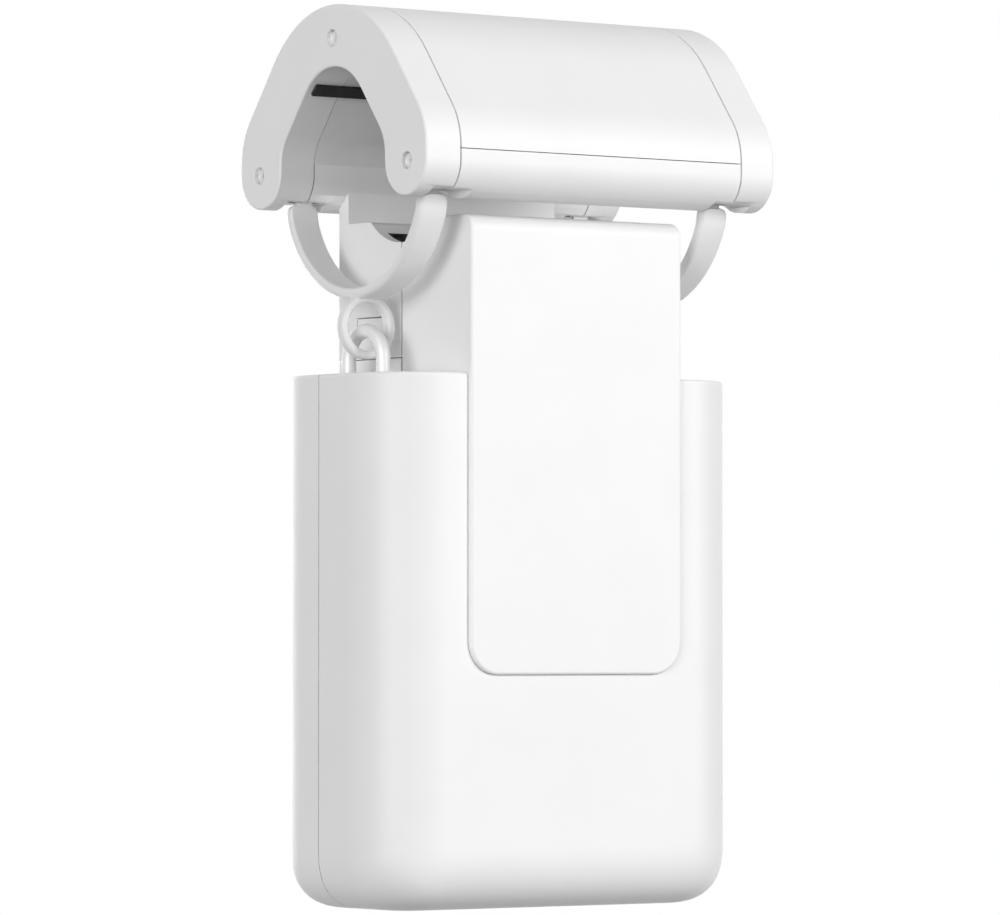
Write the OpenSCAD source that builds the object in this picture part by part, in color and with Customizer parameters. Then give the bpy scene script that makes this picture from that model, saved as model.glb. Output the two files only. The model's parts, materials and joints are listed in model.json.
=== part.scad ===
// Curtain robot that hangs on a round curtain rod and drives itself along it.
// The origin is on the rod's axis at the middle of the head. +X runs along the rod,
// -Y is the front and +Z is up. All sizes are in millimetres.

/* [Rod] */
// Diameter of the curtain rod that the head hangs on
rod_d = 25; // [24:0.5:26]
// Room between the rod and the fixed parts under it
rod_room = 1; // [0.8:0.1:1.3]

/* [Head] */
// Length of the head over both end caps
head_len = 77.4; // [76:0.2:80]
// Thickness of each end cap
cap_t = 7.5; // [7:0.1:8]
// Depth of the head from its front lip to its rear rail
head_depth = 57.6; // [57:0.2:60]
// Radius of the crown
crown_r = 23.2; // [23:0.1:24]
// Height of the crown's centre above the rod's axis
crown_z = 5; // [4.8:0.1:5.6]
// Radius of the bend between the sloped side and the leg
bend_r = 12.5; // [11:0.1:13]
// Height of the bend's centre above the rod's axis
bend_z = 1.5; // [1.3:0.1:2]
// Radius of the arch over the rod
arch_r = 11; // [10.8:0.1:11.2]
// Height of the arch's centre above the rod's axis
arch_z = 6.1; // [6:0.1:6.3]
// Radius of the bend at the foot of the arch
arch_bend_r = 8; // [7:0.1:8.4]
// Height of that bend's centre above the rod's axis
arch_bend_z = 0.5; // [0.3:0.1:1]
// Thickness of each leg beside the rod
leg_t = 12.6; // [12.2:0.1:13]
// Depth of the legs' rounded ends below the rod's axis, at their centres
leg_drop = 0.8; // [0.6:0.1:1]
// Height of the seam between the cover and the rails
seam_z = 1.1; // [0.8:0.1:1.4]
// Thickness of the rubber pads on the arch's flanks
pad_t = 0.6; // [0.4:0.1:0.8]
// Distance of the pads' ends from the head's ends
pad_inset = 1.4; // [1:0.1:3]
// Wall of the head cover
cover_wall = 2.2; // [1.8:0.1:2.6]

/* [Rings] */
// Outer radius of each ring
ring_ro = 21.6; // [21.4:0.1:21.8]
// Thickness of each ring's band
ring_t = 1.9; // [1.6:0.1:2]
// Width of each ring's band along the rod
ring_w = 6.1; // [5.5:0.1:6.4]
// Depth of the rings' centres below the rod's axis
ring_drop = 1.76; // [1.6:0.02:1.9]
// Soft edge of each ring's band
ring_edge = 0.5; // [0.2:0.1:0.8]
// Depth of the band's shoulders below the ring's centre
shoulder_drop = 4.5; // [4.2:0.1:4.8]
// Radius of the shoulders' corners
shoulder_r = 1.4; // [0.8:0.1:2]
// Width of the tongue above the shoulders
tongue_w = 3.4; // [3:0.1:4]
// Thickness of the tongue above the shoulders
tongue_t = 1; // [0.8:0.1:1.4]
// Outer radius of the eyelet under each ring
eyelet_ro = 5.8; // [5.5:0.1:6]
// Thickness of the eyelet's rim
eyelet_rim = 1.5; // [1.3:0.1:1.6]
// Thickness of the eyelet from front to back
eyelet_t = 2.2; // [1.8:0.1:2.3]
// Depth of the eyelet's centre below the rod's axis
eyelet_drop = 28.3; // [28.1:0.1:28.5]
// Length of the slot where a ring leaves the head
slot_len = 8.7; // [8.4:0.1:9.4]
// Height of the slot's roof above the legs' lowest line
slot_rise = 1.5; // [1.3:0.1:2]

/* [Bails] */
// Diameter of each bail's wire
bail_d = 2.6; // [2.2:0.1:2.7]
// Radius of each bail's bend at the middle of the wire
bail_r = 5.3; // [5.2:0.1:5.6]
// Depth of the bails' highest line below the rod's axis
bail_drop = 28.3; // [28.1:0.1:28.6]
// Depth to which each leg of a bail sits in the body
bail_seat = 6; // [4:0.5:8]

/* [Body] */
// Width of the body
body_w = 80.4; // [79:0.2:84]
// Depth of the body in front of the rod's axis
body_front = 20.3; // [20.1:0.1:20.6]
// Depth of the body behind the rod's axis
body_rear = 19.3; // [19.1:0.1:20]
// Depth of the body's top below the rod's axis
body_top = 37.5; // [37:0.1:38]
// Height of the body
body_h = 94.8; // [94:0.2:98]
// Radius of the body's upright corners
corner_r = 13; // [11.5:0.5:14]
// Radius of the round at the body's foot
foot_r = 11; // [9:0.5:11.5]
// Wall of the body's two shells
wall = 2; // [1.6:0.1:2.2]
// Place of the seam between the shells, behind the rod's axis
shell_seam = 0.7; // [0.5:0.1:1]
// Height of the neck that stands on the rear shell
stub_h = 3.3; // [2.5:0.1:4]

/* [Front panel] */
// Width of the front panel and of the neck behind it
panel_w = 46.8; // [46:0.2:48]
// How far the panel stands proud of the body
panel_proud = 0.85; // [0.6:0.05:1]
// Depth of the panel's top below the rod's axis
panel_drop = 9.4; // [9.3:0.1:10]
// Height of the panel
panel_h = 81.3; // [80:0.1:81.6]
// Radius of the panel's upper corners
panel_top_r = 3.3; // [2.6:0.1:4]
// Radius of the panel's lower corners
panel_foot_r = 6; // [5:0.1:7]
// Thickness of the panel's face
panel_t = 3.05; // [2.55:0.05:3.2]
// Wall of the panel's sides
panel_wall = 2; // [1.6:0.1:2.2]
// Running gap beside the panel
panel_gap = 0.5; // [0.4:0.05:0.7]
// Gap under the panel's foot
panel_foot_gap = 0.25; // [0.2:0.05:0.5]
// Gap between the panel's sides and the arm behind them
neck_gap = 0.4; // [0.3:0.1:0.6]
// Upward travel of the panel with the drive unit
lift = 2; // [1:0.1:2]

/* [Drive] */
// Radius of each drive wheel over its tyre
wheel_r = 8; // [7.6:0.1:8.2]
// Width of each drive wheel
wheel_w = 10; // [8:0.5:10.5]
// Thickness of each tyre
tyre_t = 2.5; // [1.6:0.1:3]
// Distance of each drive wheel from the middle of the head
wheel_x = 11; // [10.5:0.1:11.5]
// Radius of the wheel axles
axle_r = 1.5; // [1.2:0.1:1.6]
// Module of the gears
gear_module = 0.8; // [0.8]
// Teeth of each wheel gear
wheel_teeth = 18; // [18]
// Teeth of the central gear
central_teeth = 24; // [24]
// Teeth of the motor gear
motor_teeth = 16; // [16]
// Width of the gears' teeth
gear_w = 3.4; // [2.6:0.1:3.6]
// Backlash at the gears' pitch lines
backlash = 0.16; // [0.12:0.02:0.24]
// Radius of the motor
motor_r = 12; // [10:0.5:12]
// Length of the motor
motor_len = 18; // [14:0.5:18]
// Radius of the motor's shaft
shaft_r = 1; // [0.8:0.1:1.2]
// Thickness of the drive frame's plates
plate_t = 2; // [1.6:0.1:2.2]
// Radius of the drive frame's pillars
pillar_r = 2; // [1.8:0.1:2.2]

/* [Idlers] */
// Radius of each idler roller
idler_r = 4.5; // [4.2:0.1:4.7]
// Width of each idler roller
idler_w = 12; // [10:0.5:12.5]
// Distance of each idler roller from the middle of the head
idler_x = 15; // [13:0.5:17]
// Radius of the idler axles
idler_axle_r = 1.25; // [1:0.05:1.4]
// Thickness of each idler's rubber sleeve
sleeve_t = 1.5; // [1:0.1:1.8]

/* [Side buttons] */
// Length of each side button
button_len = 9.7; // [9:0.1:10.4]
// Height of each side button
button_h = 3.2; // [2.8:0.1:3.6]
// Distance of each side button's middle behind the rod's axis
button_y = 9.15; // [8.8:0.05:9.6]
// Depth of the side buttons' middle below the rod's axis
button_drop = 28.1; // [27.6:0.1:28.4]
// Travel of each side button
button_travel = 1.2; // [0.8:0.1:1.4]

/* [Electronics] */
// Radius of each battery cell
cell_r = 9.15; // [9:0.05:9.2]
// Length of each battery cell
cell_len = 65.2; // [64:0.2:65.6]
// Width of the circuit board
board_w = 48; // [44:0.5:50]
// Height of the circuit board
board_h = 25; // [23:0.5:25]
// Thickness of the circuit board
board_t = 1.6; // [1.2:0.2:1.6]
// Radius of the function button
key_r = 3; // [2.6:0.1:3.2]
// Travel of the function button
key_travel = 0.6; // [0.4:0.1:0.7]
// Width of the charging socket
port_w = 8.94; // [8.9:0.02:9]
// Height of the charging socket
port_h = 3.26; // [3.2:0.02:3.3]

/* [Fits] */
// Clearance of a shaft that turns in its bore
run_fit = 0.05; // [0.03:0.01:0.08]
// Clearance of pieces that are fixed to each other
seat_fit = 0.02; // [0.01:0.01:0.04]
// Clearance of a piece that slides in its guide
slide_fit = 0.25; // [0.2:0.05:0.3]
// Radius of the fine screws' shanks
screw_r = 0.8; // [0.7:0.05:0.85]
// Radius of the fine screws' heads
screw_head_r = 1.4; // [1.2:0.1:1.5]
// Height of the fine screws' heads
screw_head_h = 1.2; // [1:0.1:1.3]

/* [Hidden] */
$fn = 64;

// Far enough to cut right through the part
far = 200;
// Overlap of a piece's features with the wall that they grow from
root = 0.7;
rod_r = rod_d / 2;

// Head
half_depth = head_depth / 2;
leg_r = leg_t / 2;
leg_y = half_depth - leg_r;
leg_foot = -leg_drop - leg_r;
inner_y = half_depth - leg_t;
cap_x = head_len / 2;
seam_x = cap_x - cap_t;
crown_c = [0, crown_z];
bend_c = [half_depth - bend_r, bend_z];
arch_c = [0, arch_z];
arch_bend_c = [inner_y - arch_bend_r, arch_bend_z];
arch_side = side_angle(arch_c, arch_r, arch_bend_c, arch_bend_r);
// Pads reach from the ends of the arch's round up to this angle
pad_top = 51;
pad_fit = 0.05;
pad_x = cap_x - pad_inset;

// Rings and bails sit on the seams between the cover and its end caps
ring_x = seam_x;
ring_ri = ring_ro - ring_t;
ring_z = -ring_drop;
eyelet_z = -eyelet_drop;
bail_wire_r = bail_d / 2;
bail_z = -bail_drop - bail_wire_r - bail_r;
slot_round = 0.6;
slot_z = leg_foot + slot_rise;
slot_inner_wall = 1.3;
slot_outer_wall = 1.8;
slot_y = [inner_y + slot_inner_wall, half_depth - slot_outer_wall];

// Screws of the end caps pass outside the rings' pockets
pocket_r = ring_ro + slide_fit;
crown_web = 1.3;
leg_web = 0.25;
crown_screw_z = ring_z + pocket_r + screw_r + crown_web;
leg_screw_y = pocket_r + screw_r + leg_web;
leg_screw_z = ring_z + 0.8;
cap_screw_places = [[0, crown_screw_z], [leg_screw_y, leg_screw_z], [-leg_screw_y, leg_screw_z]];
screw_sink_room = 0.7;
screw_sink = screw_head_h + screw_sink_room;
cap_screw_reach = 10;

// Body
body_z1 = -body_top;
body_z0 = body_z1 - body_h;
body_y0 = -body_front;
body_y1 = body_rear;
stub_z = body_z1 + stub_h;
shell_in = body_w / 2 - wall;
rear_in = body_rear - wall;
front_in = wall - body_front;
boss_root = 0.4;
shell_screw_x = body_w / 2 - 12;
shell_boss_r = 2.6;
shell_boss_room = 1.2;
shell_screw_head_y = rear_in - 4;
shell_screw_len = 24.8;
shell_screw_tip = shell_screw_head_y - shell_screw_len;
screw_tip_room = 0.5;
arm_screw_x = 12;
arm_screw_z = body_z1 - 3.5;
head_room = 0.3;

// Front panel
panel_y0 = -body_front - panel_proud;
panel_y1 = -neck_gap / 2;
panel_x = panel_w / 2;
panel_z1 = -panel_drop;
panel_z0 = panel_z1 - panel_h;
panel_in = panel_x - panel_wall;
cut_x = panel_x + panel_gap;

// Drive
wheel_z = -rod_r - wheel_r;
hub_r = wheel_r - tyre_t;
function pitch_r(teeth) = gear_module * teeth / 2;
wheel_to_central = pitch_r(wheel_teeth) + pitch_r(central_teeth);
central_z = wheel_z - sqrt(pow(wheel_to_central, 2) - pow(wheel_x, 2));
motor_z = central_z - pitch_r(central_teeth) - pitch_r(motor_teeth);
frame_foot = motor_z - motor_r - 3;

// Lugs of the panel, the springs under them and their stops in the front shell
lug_t = 2;
lug_low = frame_foot + 2.2;
lug_high = lug_low + lug_t;
lug_z = [lug_low, lug_high];
lug_y = [-12, -4];
lug_x = panel_x + 12;
stop_x = lug_x - 2;
stop_room = 0.2;
stop_z = lug_high + lift + stop_room;
spring_len = 18;
shelf_z = lug_low - spring_len;
spring_x = panel_x + 6.4;
spring_y = (lug_y[0] + lug_y[1]) / 2;
spring_r = 2.5;
spring_wire = 0.7;
shell_screw_low = shelf_z - wall - shell_boss_r - 3.4;
shell_screw_high = body_z1 - bail_seat - wall - shell_boss_r - shell_boss_room;
shell_screw_zs = [shell_screw_high, shell_screw_low];
// Below the drive frame the panel has only a low skirt
tray_foot = frame_foot - 2;
skirt_h = 3.6;
skirt_y = panel_y0 + panel_t + skirt_h;

// Arm
arm_y0 = neck_gap / 2;
arm_y1 = body_rear + 0.2;
arm_wall = 2;
arm_in = panel_x - arm_wall;
arm_step = min(inner_y + root, arm_y1 - arm_wall);
spigot_x = arm_in - 0.2;
spigot_y = [shell_seam + 2, rear_in - 0.2];
spigot_wall = 1.6;
arm_screw_tip = spigot_y[1] - spigot_wall - 1;
spigot_in = spigot_x - spigot_wall;
spigot_z = body_z1 - 8.5;
collar_x = arm_in + root;
collar_h = 3;
cradle_r = rod_r + rod_room;

// Drive frame and gears
panel_boss_h = 1.6;
panel_boss_r = screw_r + 1.2;
gearbox_y0 = panel_y0 + panel_t + panel_boss_h;
gearbox_y1 = gearbox_y0 + plate_t;
gear_y0 = gearbox_y1 + 2.5;
gear_y1 = gear_y0 + gear_w;
motor_plate_y0 = gear_y1 + 1;
motor_plate_y1 = motor_plate_y0 + plate_t;
axle_plate_y0 = wheel_w / 2 + 3;
axle_plate_y1 = axle_plate_y0 + plate_t;
frame_x = 15.5;
gearbox_x = panel_in - 0.9;
gearbox_top = panel_z1 - panel_wall - 1;
pillar_x = motor_r + 1.5;
pillar_zs = [central_z - 4.8, frame_foot + 3];
bush_r = axle_r + 1.3;
pin_r = 1.5;
panel_screw_x = 18.5;
panel_screw_zs = [central_z + 3, frame_foot + 2];
central_angle = central_to_wheel_angle(1);
wheel_right_angle = mesh_angle(central_to_wheel_angle(1), central_teeth, central_angle, wheel_teeth);
wheel_left_angle = mesh_angle(central_to_wheel_angle(-1), central_teeth, central_angle, wheel_teeth);
motor_angle = mesh_angle(-90, central_teeth, central_angle, motor_teeth);

// Idlers
idler_z = rod_r + idler_r;
idler_core_r = idler_r - sleeve_t;
idler_room = 0.7;
idler_axle_y = idler_w / 2 + 3.3;

// Side buttons
button_gap = 0.2;
button_z = -button_drop;
flange = 0.8;
flange_x1 = arm_in - 0.05;
flange_x0 = flange_x1 - 1;
guide_x1 = flange_x0 - button_travel - 0.05;
guide_t = 1;

// Electronics
board_z1 = frame_foot - 1;
board_z0 = board_z1 - board_h;
board_boss_h = 6.2;
board_y1 = rear_in - board_boss_h;
board_y0 = board_y1 - board_t;
board_screw_x = board_w / 2 - 4;
board_screw_zs = [board_z1 - 3, board_z0 + 3];
board_boss_r = 2.2;
board_screw_reach = 4;
key_z = board_z1 - 10;
key_room = 0.3;
key_flange_t = 1;
key_flange_y = rear_in - 1.1;
switch_w = 6;
switch_t = 2.5;
light_z = board_z1 - 4;
light_r = 1;
port_z = board_z0 + 6;
port_y1 = body_rear - 0.6;
port_skin = 0.4;
cell_gap = 0.2;
cell_low_z = body_z0 + wall + cell_r + 2.05;
cell_high_z = cell_low_z + 2 * cell_r + cell_gap;
contact_t = 0.9;
contact_w = 7;
holder_y = [3, cell_r + 1.85];
holder_x = cell_len / 2 + contact_t + 2;
holder_z = [cell_low_z - 5, cell_high_z + 8];
holder_foot_x = 24;
holder_foot_t = 3;

// Points along a round stretch
function polar(r, a) = r * [cos(a), sin(a)];
function arc(c, r, a0, a1, n) = [for (i = [0:n]) c + polar(r, a0 + (a1 - a0) * i / n)];
function reversed(p) = [for (i = [len(p) - 1:-1:0]) p[i]];
function mirrored(c) = [-c[0], c[1]];
// Direction of the straight side that touches two circles
function side_angle(a, ra, b, rb) = atan2(b[1] - a[1], b[0] - a[0]) + acos((ra - rb) / norm(b - a));
// Line over the head from its rear leg to its front leg, t inside the outer face
function outer_line(t) =
    let(s = side_angle(crown_c, crown_r, bend_c, bend_r))
    concat(
        arc(bend_c, bend_r - t, 0, s, 6),
        arc(crown_c, crown_r - t, s, 180 - s, 24),
        arc(mirrored(bend_c), bend_r - t, 180 - s, 180, 6)
    );
// Line of the arch over the rod
function arch_line() = concat(
    arc(arch_bend_c, arch_bend_r, 0, arch_side, 6),
    arc(arch_c, arch_r, arch_side, 180 - arch_side, 16),
    arc(mirrored(arch_bend_c), arch_bend_r, 180 - arch_side, 180, 6)
);
function leg_line(side) = arc([side * leg_y, -leg_drop], leg_r, 180, 360, 16);

// Gears
pressure_angle = 20;
function involute(a) = tan(a) * 180 / PI - a;
function base_r(teeth) = pitch_r(teeth) * cos(pressure_angle);
function tip_r(teeth) = pitch_r(teeth) + gear_module;
function root_r(teeth) = pitch_r(teeth) - 1.25 * gear_module;
// Half of a tooth's angle at radius r
function half_tooth(teeth, r) =
    90 / teeth - backlash / 2 / pitch_r(teeth) * 180 / PI
    + involute(pressure_angle) - involute(acos(min(1, base_r(teeth) / r)));
flank_steps = 4;
function flank_r(teeth, i) = base_r(teeth) + (tip_r(teeth) - base_r(teeth)) * i / flank_steps;
function tooth(teeth, a) = concat(
    [polar(root_r(teeth), a - half_tooth(teeth, base_r(teeth)))],
    [for (i = [0:flank_steps]) polar(flank_r(teeth, i), a - half_tooth(teeth, flank_r(teeth, i)))],
    [for (i = [flank_steps:-1:0]) polar(flank_r(teeth, i), a + half_tooth(teeth, flank_r(teeth, i)))],
    [polar(root_r(teeth), a + half_tooth(teeth, base_r(teeth)))]
);
// Turn of a follower gear that lies in direction d from a gear turned by a
function mesh_angle(d, teeth, a, follower_teeth) =
    d + 180 - (a - d) * teeth / follower_teeth + 180 / follower_teeth;
function central_to_wheel_angle(side) = atan2(wheel_z - central_z, side * wheel_x);

// Bars, blocks and extrusions along the axes
module bar_x(y, z, r, x0, x1) {
    translate([x0, y, z]) rotate([0, 90, 0]) cylinder(r = r, h = x1 - x0);
}
module bar_y(x, z, r, y0, y1) {
    translate([x, y1, z]) rotate([90, 0, 0]) cylinder(r = r, h = y1 - y0);
}
module block(x, y, z) {
    translate([x[0], y[0], z[0]]) cube([x[1] - x[0], y[1] - y[0], z[1] - z[0]]);
}
module along_x(x0, x1) {
    translate([x0, 0, 0]) rotate([90, 0, 90]) linear_extrude(x1 - x0) children();
}
module along_y(y0, y1) {
    translate([0, y1, 0]) rotate([90, 0, 0]) linear_extrude(y1 - y0) children();
}
module on_side(side) {
    mirror([side < 0 ? 1 : 0, 0, 0]) children();
}
module both_sides() {
    for (side = [-1, 1]) on_side(side) children();
}
module front_and_rear() {
    for (turn = [0, 1]) mirror([0, turn, 0]) children();
}

// Section through the head, in depth and height
module head_section() {
    polygon(concat(leg_line(1), outer_line(0), leg_line(-1), reversed(arch_line())));
}
module inside_cover(t) {
    polygon(concat([[half_depth - t, -half_depth]], outer_line(t), [[t - half_depth, -half_depth]]));
}
module above_seam() {
    translate([-far / 2, seam_z]) square([far, far / 2]);
}
module below_seam(side) {
    translate([side < 0 ? -far / 2 : 0, seam_z - far / 2]) square([far / 2, far / 2]);
}

// Room for a ring's band inside the head
module ring_pocket() {
    pocket_w = ring_w + 2 * slide_fit;
    translate([ring_x, 0, ring_z]) rotate([0, 90, 0]) difference() {
        cylinder(r = pocket_r, h = pocket_w, center = true);
        cylinder(r = ring_ri - slide_fit, h = pocket_w + 2, center = true);
    }
}
// Slot with rounded upper corners where a ring leaves a leg
module slot_outline() {
    half = slot_len / 2;
    translate([ring_x - half, leg_foot - leg_r]) square([slot_len, leg_r + slot_rise - slot_round]);
    translate([ring_x - half + slot_round, leg_foot]) square([slot_len - 2 * slot_round, slot_rise]);
    for (s = [-1, 1]) translate([ring_x + s * (half - slot_round), slot_z - slot_round]) circle(slot_round);
}
module ring_slots() {
    front_and_rear() along_y(slot_y[0], slot_y[1]) slot_outline();
}
module cap_screw_holes(r, reach) {
    for (p = cap_screw_places) bar_x(p[0], p[1], r, seam_x - reach, cap_x + 1);
}
// What the rings and the end caps' screws take out of the pieces between the caps
module head_cuts() {
    both_sides() {
        ring_pocket();
        ring_slots();
        cap_screw_holes(screw_r + seat_fit, cap_screw_reach + 0.5);
    }
}

module head_cover() {
    color("white") along_x(-seam_x, seam_x) intersection() {
        difference() {
            head_section();
            inside_cover(cover_wall);
        }
        above_seam();
    }
}
module roller_carrier() {
    pocket_x = idler_r + idler_room;
    pocket_y = idler_w / 2 + 0.4;
    color("gainsboro") difference() {
        along_x(-seam_x, seam_x) intersection() {
            head_section();
            inside_cover(cover_wall + 0.1);
            above_seam();
        }
        head_cuts();
        both_sides() {
            block([idler_x - pocket_x, idler_x + pocket_x], [-pocket_y, pocket_y], [0, idler_z + pocket_x]);
            bar_y(idler_x, idler_z, idler_axle_r + seat_fit, -idler_axle_y - 0.3, idler_axle_y + 0.3);
        }
    }
}
module front_rail() {
    color("white") difference() {
        along_x(-seam_x, seam_x) intersection() {
            head_section();
            below_seam(-1);
        }
        head_cuts();
    }
}
module end_cap(side) {
    color("whitesmoke") on_side(side) difference() {
        along_x(seam_x, cap_x) head_section();
        ring_pocket();
        ring_slots();
        cap_screw_holes(screw_r + seat_fit, 0);
        for (p = cap_screw_places) bar_x(p[0], p[1], screw_head_r + 0.15, cap_x - screw_sink, cap_x + 1);
    }
}
module cap_screws(side) {
    color("silver") on_side(side) for (p = cap_screw_places) {
        bar_x(p[0], p[1], screw_head_r, cap_x - screw_sink, cap_x - screw_sink + screw_head_h);
        bar_x(p[0], p[1], screw_r, seam_x - cap_screw_reach, cap_x - screw_sink + root);
    }
}

// Rubber pad along a flank of the arch
module rod_pad(side) {
    r = arch_r - pad_fit;
    section = concat(arc(arch_c, r, arch_side, pad_top, 4), arc(arch_c, r - pad_t, pad_top, arch_side, 4));
    color("black") along_x(-pad_x, pad_x) polygon([for (p = section) [side * p[0], p[1]]]);
}

module idler_axle(side) {
    color("silver") on_side(side) bar_y(idler_x, idler_z, idler_axle_r, -idler_axle_y, idler_axle_y);
}
module idler_core(side) {
    color("dimgray") on_side(side) difference() {
        bar_y(idler_x, idler_z, idler_core_r, -idler_w / 2, idler_w / 2);
        bar_y(idler_x, idler_z, idler_axle_r + run_fit, -idler_w, idler_w);
    }
}
module idler_sleeve(side) {
    color("black") on_side(side) difference() {
        bar_y(idler_x, idler_z, idler_r, -idler_w / 2, idler_w / 2);
        bar_y(idler_x, idler_z, idler_core_r + seat_fit, -idler_w, idler_w);
    }
}

// A ring's outline from the front, up to its shoulders
module shouldered_outline() {
    half = ring_w / 2;
    low = ring_z - ring_ro - 1;
    round_z = ring_z - shoulder_drop - shoulder_r;
    inner = half - shoulder_r;
    translate([ring_x - half, low]) square([ring_w, round_z - low]);
    translate([ring_x - inner, low]) square([2 * inner, round_z + shoulder_r - low]);
    for (s = [-1, 1]) translate([ring_x + s * inner, round_z]) circle(shoulder_r);
}
// A ring's band with soft edges, its narrower tongue inside the head, and the eyelet that hangs from it
module ring(side) {
    half = ring_w / 2;
    e = ring_edge;
    color("whitesmoke") on_side(side) {
        intersection() {
            translate([ring_x, 0, ring_z]) rotate([0, 90, 0]) rotate_extrude() polygon([
                [ring_ri + e, -half], [ring_ro - e, -half], [ring_ro, e - half], [ring_ro, half - e],
                [ring_ro - e, half], [ring_ri + e, half], [ring_ri, half - e], [ring_ri, e - half]
            ]);
            along_y(-ring_ro - 1, ring_ro + 1) shouldered_outline();
        }
        translate([ring_x, 0, ring_z]) rotate([0, 90, 0]) difference() {
            cylinder(r = ring_ri + tongue_t, h = tongue_w, center = true);
            cylinder(r = ring_ri, h = tongue_w + 1, center = true);
        }
        difference() {
            bar_y(ring_x, eyelet_z, eyelet_ro, -eyelet_t / 2, eyelet_t / 2);
            bar_y(ring_x, eyelet_z, eyelet_ro - eyelet_rim, -eyelet_t, eyelet_t);
        }
    }
}
// A wire bent over in a half circle, with both legs seated in the body's top
module bail(side) {
    color("silver") on_side(side) translate([ring_x, 0, bail_z]) {
        rotate([90, 0, 90]) rotate_extrude(angle = 180) translate([bail_r, 0]) circle(bail_wire_r);
        for (s = [-1, 1]) translate([0, s * bail_r, body_z1 - bail_seat - bail_z])
            cylinder(r = bail_wire_r, h = bail_z - body_z1 + bail_seat);
    }
}
module bail_boss(s) {
    translate([ring_x, s * bail_r, body_z1 - bail_seat - wall])
        cylinder(r = bail_wire_r + 1.4, h = bail_seat + wall - root);
}
module bail_holes() {
    both_sides() for (s = [-1, 1]) translate([ring_x, s * bail_r, body_z1 - bail_seat])
        cylinder(r = bail_wire_r + seat_fit, h = far);
}

// The body's outer form, or the room inside it, t inside the outer face
module body_form(t) {
    r = corner_r - t;
    f = foot_r - t;
    x = body_w / 2 - t;
    y0 = body_y0 + t;
    y1 = body_y1 - t;
    z0 = body_z0 + t;
    z1 = body_z1 - t;
    h = z1 - z0;
    for (cx = [r - x, x - r], cy = [y0 + r, y1 - r]) translate([cx, cy, z0]) rotate_extrude() {
        square([r - f, h]);
        translate([0, f]) square([r, h - f]);
        intersection() {
            translate([r - f, f]) circle(f);
            square([r, h]);
        }
    }
    for (cy = [y0 + f, y1 - f]) bar_x(cy, z0 + f, f, r - x, x - r);
    for (cx = [f - x, x - f]) bar_y(cx, z0 + f, f, y0 + r, y1 - r);
    block([r - x, x - r], [y0, y1], [z0 + f, z1]);
    block([-x, x], [y0 + r, y1 - r], [z0 + f, z1]);
    block([r - x, x - r], [y0 + f, y1 - f], [z0, z1]);
    block([f - x, x - f], [y0 + r, y1 - r], [z0, z1]);
}
// Outline of the front panel, i inside its edge, in width and height
module panel_outline(i) {
    x = panel_x - i;
    z1 = panel_z1 - i;
    z0 = panel_z0 + i;
    rt = panel_top_r - min(i, panel_top_r - 0.5);
    rf = panel_foot_r - i;
    polygon(concat(
        arc([x - rt, z1 - rt], rt, 0, 90, 6),
        arc([rt - x, z1 - rt], rt, 90, 180, 6),
        arc([rf - x, z0 + rf], rf, 180, 270, 8),
        arc([x - rf, z0 + rf], rf, 270, 360, 8)
    ));
}

module front_shell() {
    guide_x = panel_x + slide_fit;
    rib_x = shell_in + root;
    color("white") difference() {
        union() {
            difference() {
                intersection() {
                    body_form(0);
                    block([-far, far], [-far, shell_seam], [-far, far]);
                }
                body_form(wall);
                along_y(-far, far) translate([0, panel_gap - panel_foot_gap]) panel_outline(-panel_gap);
                block([-cut_x, cut_x], [-far, far], [body_z1 - panel_h / 4, far]);
            }
            both_sides() {
                bail_boss(-1);
                for (z = shell_screw_zs)
                    bar_y(shell_screw_x, z, shell_boss_r, front_in - boss_root, shell_seam);
                // Guides beside the panel, parted where its lugs pass
                for (z = [[lug_high + 4, body_z1 - wall], [panel_z0 + panel_foot_r, lug_low - 2]]) {
                    block([cut_x + 0.3, cut_x + 2], [root - body_front, -wall], z);
                    block([guide_x, cut_x + 1], [wall + root - body_front, -wall], z);
                }
                // Shelf under the spring, the panel's lower stop and its upper stop
                block([spring_x - spring_r, rib_x], lug_y, [shelf_z - wall, shelf_z]);
                block([stop_x, lug_x], lug_y, [shelf_z - root, lug_low]);
                block([spring_x, rib_x], lug_y, [stop_z, stop_z + wall]);
            }
        }
        bail_holes();
        both_sides() for (z = shell_screw_zs)
            bar_y(shell_screw_x, z, screw_r + seat_fit, shell_screw_tip - screw_tip_room, far);
    }
}
module rear_shell() {
    color("white") difference() {
        union() {
            difference() {
                intersection() {
                    union() {
                        body_form(0);
                        block([-panel_x, panel_x], [shell_seam, body_y1], [body_z1 - wall, stub_z]);
                    }
                    block([-far, far], [shell_seam, far], [-far, far]);
                }
                body_form(wall);
                block([-arm_in, arm_in], [-far, rear_in], [body_z1 - 2 * wall, far]);
            }
            both_sides() {
                bail_boss(1);
                for (z = shell_screw_zs)
                    bar_y(shell_screw_x, z, shell_boss_r, shell_seam, rear_in + boss_root);
                for (z = board_screw_zs)
                    bar_y(board_screw_x, z, board_boss_r, board_y1, rear_in + root);
            }
        }
        bail_holes();
        both_sides() {
            for (z = shell_screw_zs) {
                bar_y(shell_screw_x, z, screw_r + seat_fit, -far, far);
                bar_y(shell_screw_x, z, screw_head_r + head_room, shell_screw_head_y, far);
            }
            for (z = board_screw_zs) bar_y(board_screw_x, z, screw_r + seat_fit, 0, rear_in - 1);
            bar_y(arm_screw_x, arm_screw_z, screw_r + seat_fit, 0, far);
            bar_y(arm_screw_x, arm_screw_z, screw_head_r + head_room, body_rear - screw_head_h, far);
        }
        bar_y(0, key_z, key_r + key_room, rear_in - 1, far);
        bar_y(0, light_z, light_r + seat_fit, rear_in - 1, far);
        along_y(rear_in - 1, far) port_outline(seat_fit);
    }
}

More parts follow.
